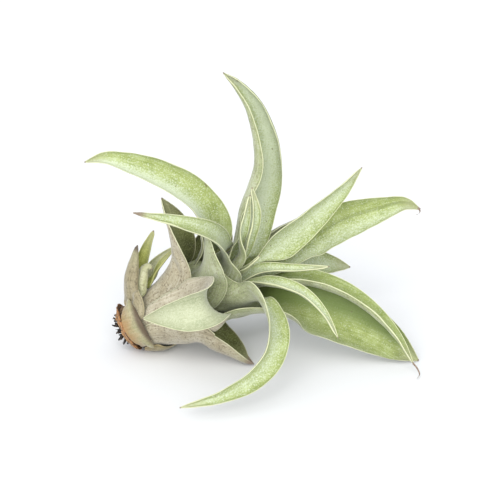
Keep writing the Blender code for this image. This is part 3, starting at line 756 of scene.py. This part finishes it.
# The old leaves: one propped on its tip in front and one behind, one standing
# behind the root end and one high on the far side. They are greyer than the rest,
# their outer face pinkish grey and freckled, and their inner face is painted dark
# olive with a dull bloom, as painted shade for the hollows it faces.
OLD_LEAVES = [
    Leaf(
        "leaf_low_front", 148, [(0.3, 11.8), (6, 14.4), (14, 17.2), (22, 20), (29, 22)],
        [(-22, -3.5, 6.2), (-14, -7.5, 4.2), (-7.5, -10.5, 2.2), (-2, -11.5, 0.8)],
        clasp=70, width=19, fold=78, throat=0.5, hug=0.75, taper=1.7,
        face=((0.4, 0.1, 0.85), (0.4, 0.1, 0.8)), cols=8, dried=4.0,
    ),
    Leaf(
        "leaf_back_prop", 255, [(1.5, 10.9), (8, 14), (16, 17.5), (24, 20.5)],
        [(-36, 38.5, 22), (-40, 50.5, 17), (-44, 60.5, 9), (-46, 68.5, 0.8)],
        clasp=33, width=12, throat=0.45,
    ),
    Leaf(
        "leaf_short_upright", 15, [(4, 9.3), (10, 11.6), (22, 15.6)],
        [(-43.5, 3.5, 49.5), (-42, 3.5, 57.5), (-42, 4.5, 66), (-44, 5.5, 75), (-47.5, 6.5, 83)],
        clasp=78, width=18.5, fold=75, throat=0.42, hug=0.25, taper=1.4,
        face=((1, -0.05, 0.1), (0.6, -0.8, 0.3)), cols=10,
    ),
    Leaf(
        "leaf_back_high", 276, [(6, 8.6), (12, 12), (20, 15), (30, 17.5)],
        [(-26, 31, 44.5), (-22, 33.5, 51), (-20, 34, 57), (-20, 33.5, 62)],
        clasp=27, width=11, fold=40, throat=0.55, hug=0.8, taper=5,
        face=((0.2, -0.9, 0.3), (0.2, -0.9, 0.3)), rows=14,
    ),
]
for leaf in OLD_LEAVES:
    grow(leaf, OLD_SHADED_SKIN)

# The folded leaf: an old leaf bent right back over the root end, so that its
# mint-green inner face shows, with its sheath grey and pink above it.
MINTY_SKIN = leaf_skin(
    "minty_leaf_skin", upper=("808865", "8E9372", "9DA180"), lower=("8C836C", "9E967F", "AFA893"),
    frost="AAAE92", frost_under="B6B09F", shade="727A58", fleck="5E523C", flecks=0.65,
)
FOLDED_LEAF = Leaf(
    "leaf_folded_back", 86, [(2.5, 10.2), (6, 12.1), (14, 15), (22, 17.5), (33, 21)],
    [(-24, -25, 41), (-25.5, -32, 41.3), (-32.5, -35, 39.8), (-44, -31.5, 36.5), (-56, -24.5, 32)],
    clasp=41, width=12.8, fold=80, tip_fold=40, throat=0.55, hug=0.6, taper=1.3, twist=(-16, -8),
    rows=20, cols=8,
)
grow(FOLDED_LEAF, MINTY_SKIN)

# The pup: a young shoot at the top of the root end, of a dry bract, two yellow-green
# leaves and two paler ones. The leaves are narrow, and one of the pale ones is rolled.
BRACT_SKIN = leaf_skin(
    "dry_bract_skin", upper=("5A5330", "6A6440", "7C7552"), lower=("6C6347", "80775B", "938A6F"),
    tip="3E2E26", fleck="504630", flecks=0.65, frost_under="9A917A", shade="5C5338", rim="A39A78",
)
PUP_SKIN = leaf_skin(
    "pup_leaf_skin", upper=("595F14", "6B701C", "7F832C"), lower=("60661C", "73782A", "898D40"),
    frost="92954E", frost_under="8F9150", rim="A3A264",
)
PALE_PUP_SKIN = leaf_skin(
    "pale_pup_leaf_skin", upper=("84885A", "989B74", "ABAD8C"), lower=("96976E", "AAAA84", "BCBB9E"),
    frost="B2B294", frost_under="BDBBA2", shade="777A4C",
)
BRACT = Leaf(
    "pup_bract", 39, [(3.2, 12.4), (6.4, 13.9)], [(-66.5, 4.5, 34.5), (-64, 5.5, 46), (-60, 6.5, 58)],
    clasp=31, width=7, fold=75, throat=0.4, taper=1.6, face=((0.8, 0.6, 0), (0.8, 0.6, 0)),
    rows=12, dried=3.0,
)
grow(BRACT, BRACT_SKIN)

PUP_LEAVES = [
    Leaf(
        "pup_spear", 343, [(5.5, 13.6), (10, 15.8)],
        [(-58.5, 15.5, 45), (-56, 16.5, 53), (-52.5, 17.5, 61.5)],
        clasp=8, width=4.3, fold=60, throat=0.3, taper=2, face=((-0.3, -0.9, 0.3), (-0.3, -0.9, 0.3)),
        rows=10, cols=4,
    ),
    Leaf(
        "pup_leaf_lower", 357, [(9, 14), (13, 15.3)], [(-54, 11.5, 39.5), (-49, 11.5, 46), (-43, 12.5, 53)],
        clasp=7, width=3, fold=60, throat=0.3, taper=1.6, face=((0.3, -0.2, 0.8), (0.3, -0.2, 0.8)),
        rows=10, cols=4,
    ),
]
for leaf in PUP_LEAVES:
    grow(leaf, PUP_SKIN)

PALE_PUP_LEAVES = [
    Leaf(
        "pup_leaf_upper", 320, [(7, 12), (11, 14.6)], [(-55, 20.5, 38.5), (-50, 20.5, 45), (-43, 21.5, 51)],
        clasp=8, width=3.5, throat=0.3, taper=1.6, face=((0.3, -0.5, 0.8), (0.3, -0.5, 0.8)),
        rows=10, cols=4,
    ),
    Leaf(
        "pup_rolled", 8, [(6.5, 13), (11, 15)],
        [(-59.2, 6.5, 40), (-57.4, 6.4, 45.2), (-54.9, 6, 46.8), (-53, 5.6, 45)],
        clasp=10, width=4.3, fold=90, throat=0.27, taper=3, face=((0.6, 0.7, 0), (0.3, 0.6, -0.7)),
        rows=12,
    ),
]
for leaf in PALE_PUP_LEAVES:
    grow(leaf, PALE_PUP_SKIN)

# The shaded leaves: those set far in among the others, whose skin is a darker, more olive version of the
# grown leaves' skin, as painted shade.
SHADED_SKIN = leaf_skin(
    "shaded_leaf_skin", upper=("454B1C", "555B27", "6A6F38"), lower=("6F7552", "828865", "969B7B"),
    frost="8C9064", shade="4A5224",
)
SHADED_LEAVES = [
    Leaf(
        "leaf_back_low", 238, [(6, 8.6), (12, 12.2), (20, 15.5), (30, 18)],
        [(-18, 30.5, 16), (2, 40.5, 16), (22, 48.5, 12), (40, 54.5, 6)],
        clasp=15, width=12, throat=0.4, rows=14,
    ),
    Leaf(
        "leaf_inner_top", 340, [(9, 8.1), (14, 10.7), (22, 13), (34, 16), (44, 17.5)],
        [(-27.5, 14.5, 54.5), (-28.5, 16.5, 61)],
        clasp=28, width=8, fold=50, throat=0.6, taper=5, rows=12, cols=4,
    ),
    Leaf(
        "leaf_back_right", 300, [(21, 6.4), (28, 8.4), (36, 10.2), (47, 12.5)],
        [(2, 30.5, 51), (14, 40.5, 54.5), (27.5, 50.5, 58)],
        clasp=20, width=6.5, throat=0.3, rows=12,
    ),
]
for leaf in SHADED_LEAVES:
    grow(leaf, SHADED_SKIN)

# The grown leaves: long channelled blades, green on their inner face under a
# silver bloom, and greyer on their outer face.
GREEN_SKIN = leaf_skin(
    "green_leaf_skin", upper=("727F3C", "848F4F", "95A068"), lower=("80875F", "92996F", "A4A98B"),
)
MIDDLE_LEAVES = [
    Leaf(
        "leaf_broad_low_right", 168, [(8, 8.3), (12, 11), (22, 14), (32, 16.8), (42, 18.3)],
        [(3.5, 0.5, 26), (21.5, 3, 23.4), (41.5, 1.5, 18.2), (61.5, -2, 10.7), (81, -7.5, 0.85)],
        clasp=47, width=17, fold=50, throat=0.4, taper=4, turn=(0.36, 0.6),
        face=((-0.1, -0.5, 0.85), (-0.1, -0.75, 0.65)), rows=18,
        # its upper half is painted a deeper green: painted shade from the leaf above it
        silver=(-0.6, 0.55, -0.9),
    ),
    Leaf(
        "leaf_long_left", 50, [(11, 7.9), (16, 9.6), (22, 11.4), (34, 14.3)],
        [
            (-28.5, -4.5, 46), (-26.5, -5.5, 54), (-25.5, -5.5, 61), (-24, -4.5, 69.5),
            (-26, -3.5, 80), (-34, -3.5, 90.5), (-47, -3.5, 98.5), (-61.5, -3.5, 104),
            (-73.5, -2.5, 106.5), (-83.5, -1.5, 104),
        ],
        clasp=62, width=9, fold=60, throat=0.5, hug=0.7, taper=2.4,
        face=((0.7, -0.7, 0.1), (0, -0.9, 0.45)), rows=22,
        silver=(-0.75, 0.7, 0.5),
    ),
    Leaf(
        "leaf_front_hook", 112, [(18, 7.9), (32, 11.2), (44, 13.3), (54, 18.5)],
        [
            (-1, -18.5, 41), (4.5, -27.5, 38), (8, -39.5, 31.5), (5.5, -49.5, 23),
            (-3, -57.5, 15.5), (-19, -65.5, 10.5), (-36.5, -68.5, 7),
        ],
        clasp=72, width=8.5, fold=62, throat=0.3, hug=0.75, taper=2.2, turn=(0.28, 0.56),
        face=((0.8, -0.4, 0.5), (0.3, -0.85, 0.4)), rows=20,
        silver=(0.0, 0.6, 0.3),
    ),
    Leaf(
        "leaf_short_right", 242, [(16, 7.8), (22, 9.1), (36, 11.4), (48, 13.5)],
        [(14, 30.5, 35.5), (27.5, 42.5, 33), (40, 50.5, 29), (50, 54.5, 26)],
        clasp=37, width=9.5, fold=45, throat=0.4, taper=4, rows=14,
    ),
    Leaf(
        "leaf_slim_left", 36, [(21, 6.4), (28, 8), (36, 9.4), (48, 10.8)],
        [
            (-18, 2.5, 50.5), (-17.5, -4.5, 60), (-19, -12.5, 68), (-23.5, -19.5, 75),
            (-31.5, -24.5, 80), (-41.5, -27.5, 84), (-50.5, -28.5, 86.5), (-58.5, -29.5, 88.5),
        ],
        clasp=78, width=7.7, fold=62, throat=0.4, hug=0.7, taper=1.5, turn=(0.3, 0.5),
        face=((1, -0.3, 0.3), (0, -0.8, 0.6)), rows=22, cols=8,
        silver=(0.3, 0.6, 0.3), dried=5.0,
    ),
]
for leaf in MIDDLE_LEAVES:
    grow(leaf, GREEN_SKIN)

# The heart: the youngest leaves, round the end of the stem. Some stand upright and
# some arch out to the right, and they have the same skin as the grown leaves.
HEART_LEAVES = [
    Leaf(
        "leaf_low_right", 218, [(24, 5.4), (30, 7.8), (36, 9.3), (50, 11.5)],
        [
            (8.5, 11.5, 35.2), (25.5, 8.5, 36.2), (43.5, 2.5, 32.5), (58.5, -4.5, 24.5),
            (69.5, -12.5, 15), (77, -20.5, 5),
        ],
        clasp=40, width=10.5, fold=62, throat=0.4, face=((0.3, 0, 0.95), (0.35, 0.05, 0.93)),
        rows=18, silver=(-0.5, 0.8, -0.35), dried=1.5,
    ),
    Leaf(
        "leaf_broad_right", 268, [(27, 4.4), (31, 6), (38, 7.7), (50, 9.5)],
        [
            (9, 22.5, 42), (27, 28.5, 52), (45, 32.5, 61), (63, 34.5, 66.5),
            (75, 34.5, 69.5), (83.5, 33.5, 67),
        ],
        clasp=42, width=12, throat=0.42, hug=0.7, taper=3, face=((-0.3, -0.9, 0.4), (0.1, -0.93, 0.37)),
        rows=18, silver=(0.6, 0.5, 0.3), crease=(-0.1, 0.9), dried=1.5,
    ),
    Leaf(
        "leaf_tall", 312, [(30, 3.5), (34, 4.7), (42, 6.3), (50, 7.6), (58, 9.5)],
        [
            (-9, 21.9, 60), (-5.2, 25.6, 71), (-0.3, 26.5, 86), (1.6, 24.5, 100),
            (0.1, 22.5, 114.5), (-4.2, 19.5, 127.5), (-10.2, 16.5, 137), (-17, 12.5, 144.5),
        ],
        clasp=73, width=15.5, fold=80, tip_fold=125, throat=0.36, hug=0.7, taper=2.4,
        face=((0.7, -0.7, 0.1), (0.15, -0.9, 0.35)), rows=22, cols=8,
        silver=(0.35, 0.5, 0.5),
    ),
    Leaf(
        "leaf_spear_up_right", 278, [(38.5, 1.9), (41, 3), (46, 4.4), (56, 6.6)],
        [(3, 14, 49.5), (16, 17.5, 58.5), (28.5, 19.5, 69), (41, 19.5, 81), (51.5, 17.5, 95)],
        clasp=35, width=9.5, throat=0.42, hug=0.7, taper=1.7,
    ),
    Leaf(
        "leaf_slim_right", 150, [(36, 2.4), (46, 4.8), (54, 6.5)],
        [
            (2, -5.5, 42), (13, -11.5, 43.5), (23, -15.5, 40.5), (31, -19.5, 34),
            (36, -21.5, 26.5), (39, -23.5, 21),
        ],
        clasp=45, width=5.5, fold=60, throat=0.3, face=((0.2, -0.3, 0.9), (0.4, -0.3, 0.9)), cols=4,
    ),
    Leaf(
        "leaf_small_right", 175, [(40, 2), (48, 3), (56, 4.6)],
        [(2, 7, 43.7), (16, 4.5, 46), (26, 3.5, 47), (35.5, 2.5, 48)],
        clasp=45, width=5, fold=60, throat=0.3, taper=1.4, face=((-0.1, -0.5, 0.85), (-0.1, -0.5, 0.85)),
        rows=12, cols=4,
    ),
    Leaf(
        "leaf_lance_left", 23, [(39, 2.2), (50, 4.6)],
        [(-9.5, 6, 52.5), (-8.6, 4.5, 63), (-5.9, 5.5, 74), (-4, 6.5, 84.5)],
        clasp=38, width=5.2, fold=60, throat=0.3, turn=(0.45, 0.8),
        face=((0.75, -0.8, 0.1), (0.7, -0.85, 0.1)), rows=12, cols=4,
    ),
    Leaf(
        "leaf_lance_right", 334, [(46.5, 0.8), (51, 1.9)],
        [(-7.9, 10.8, 52.3), (-4.3, 8.5, 62), (-1, 8.3, 73.5), (-3, 9, 87.5)],
        clasp=24, width=4.4, fold=68, throat=0.3, turn=(0.4, 0.75), face=((0.65, -0.8, 0), (0.45, -1, 0)),
        rows=12, cols=4,
    ),
    Leaf(
        "leaf_bud", 105, [(46.5, 1.4), (52, 2.2)], [(-6, 3.5, 46), (-2.5, 2.5, 50.5), (1, 2.5, 54)],
        clasp=28, width=2.5, fold=60, throat=0.3, twist=(0, 90), rows=8, cols=4,
    ),
]
for leaf in HEART_LEAVES:
    grow(leaf, GREEN_SKIN)

# Dried tips: the last few millimetres of two leaves have died back to a thin
# brown thread that curls under.
TIP_CURLS = {
    "leaf_low_right": [(76.6, -20, 5.6), (78.6, -20.6, 3.2), (79.6, -23.4, 1.4), (78, -27, 0.7)],
    "leaf_broad_right": [(82.4, 33.6, 67.3), (83.3, 33.3, 66), (82.6, 33, 64.6), (81.2, 33, 64.2)],
}
CURL_RADII = (0.5, 0.2)
CURL_STEPS = 14
CURL_SIDES = 8


def dead_leaf_tip():
    """Dead leaf tissue, shrunk to a dry brown thread."""
    mat, shader = new_material("dead_leaf_tip", roughness=0.8)
    place = add_node(mat, "ShaderNodeTexCoord", out="Object")
    grain = add_node(mat, "ShaderNodeTexNoise", Vector=place, Scale=1 / (0.6 * MM), Detail=3.0)
    colour = layered(mat, "6E5A4C", [((grain, 0.45, 0.6, 1.0), "9C8A78")])
    return finish(mat, shader, colour, grain, 0.2)


dead_tip = dead_leaf_tip()
for node, path in TIP_CURLS.items():
    bm = bmesh.new()
    line = curve_through(path, CURL_STEPS)
    tube(bm, line, np.linspace(*CURL_RADII, len(line)), sides=CURL_SIDES)
    name = node + "_curl"
    add_piece(name, dress_mesh(name, bm, dead_tip), node)

# Floor and light: a plain pale surface under a bluish white sky, with a soft, high
# light from the upper left and a stronger, lower one from the camera's side.
FLOOR_SIZE = 8.0
SKY_STRENGTH = 0.95
LAMPS = [("key", 0.9, 50, (30, -25, 0)), ("fill", 3.4, 60, (64, -5, 0))]
bm = bmesh.new()
bmesh.ops.create_grid(bm, x_segments=1, y_segments=1, size=FLOOR_SIZE / 2)
floor_mesh = bpy.data.meshes.new("floor")
bm.to_mesh(floor_mesh)
bm.free()
floor_paper, floor_shader = new_material("white_paper", roughness=0.8)
floor_shader.inputs["Base Color"].default_value = linear("D8D8D8")
floor_mesh.materials.append(floor_paper)
floor = bpy.data.objects.new("floor", floor_mesh)
bpy.context.scene.collection.objects.link(floor)

sky = bpy.data.worlds.new("studio")
sky.use_nodes = True
sky_light = sky.node_tree.nodes["Background"]
sky_light.inputs["Color"].default_value = linear("F6FAFF")
sky_light.inputs["Strength"].default_value = SKY_STRENGTH
bpy.context.scene.world = sky
for name, power, softness, turn in LAMPS:
    lamp_data = bpy.data.lights.new(name, "SUN")
    lamp_data.energy = power
    lamp_data.angle = math.radians(softness)
    lamp = bpy.data.objects.new(name, lamp_data)
    bpy.context.scene.collection.objects.link(lamp)
    lamp.rotation_euler = [math.radians(angle) for angle in turn]
bpy.context.scene.view_settings.view_transform = "Standard"
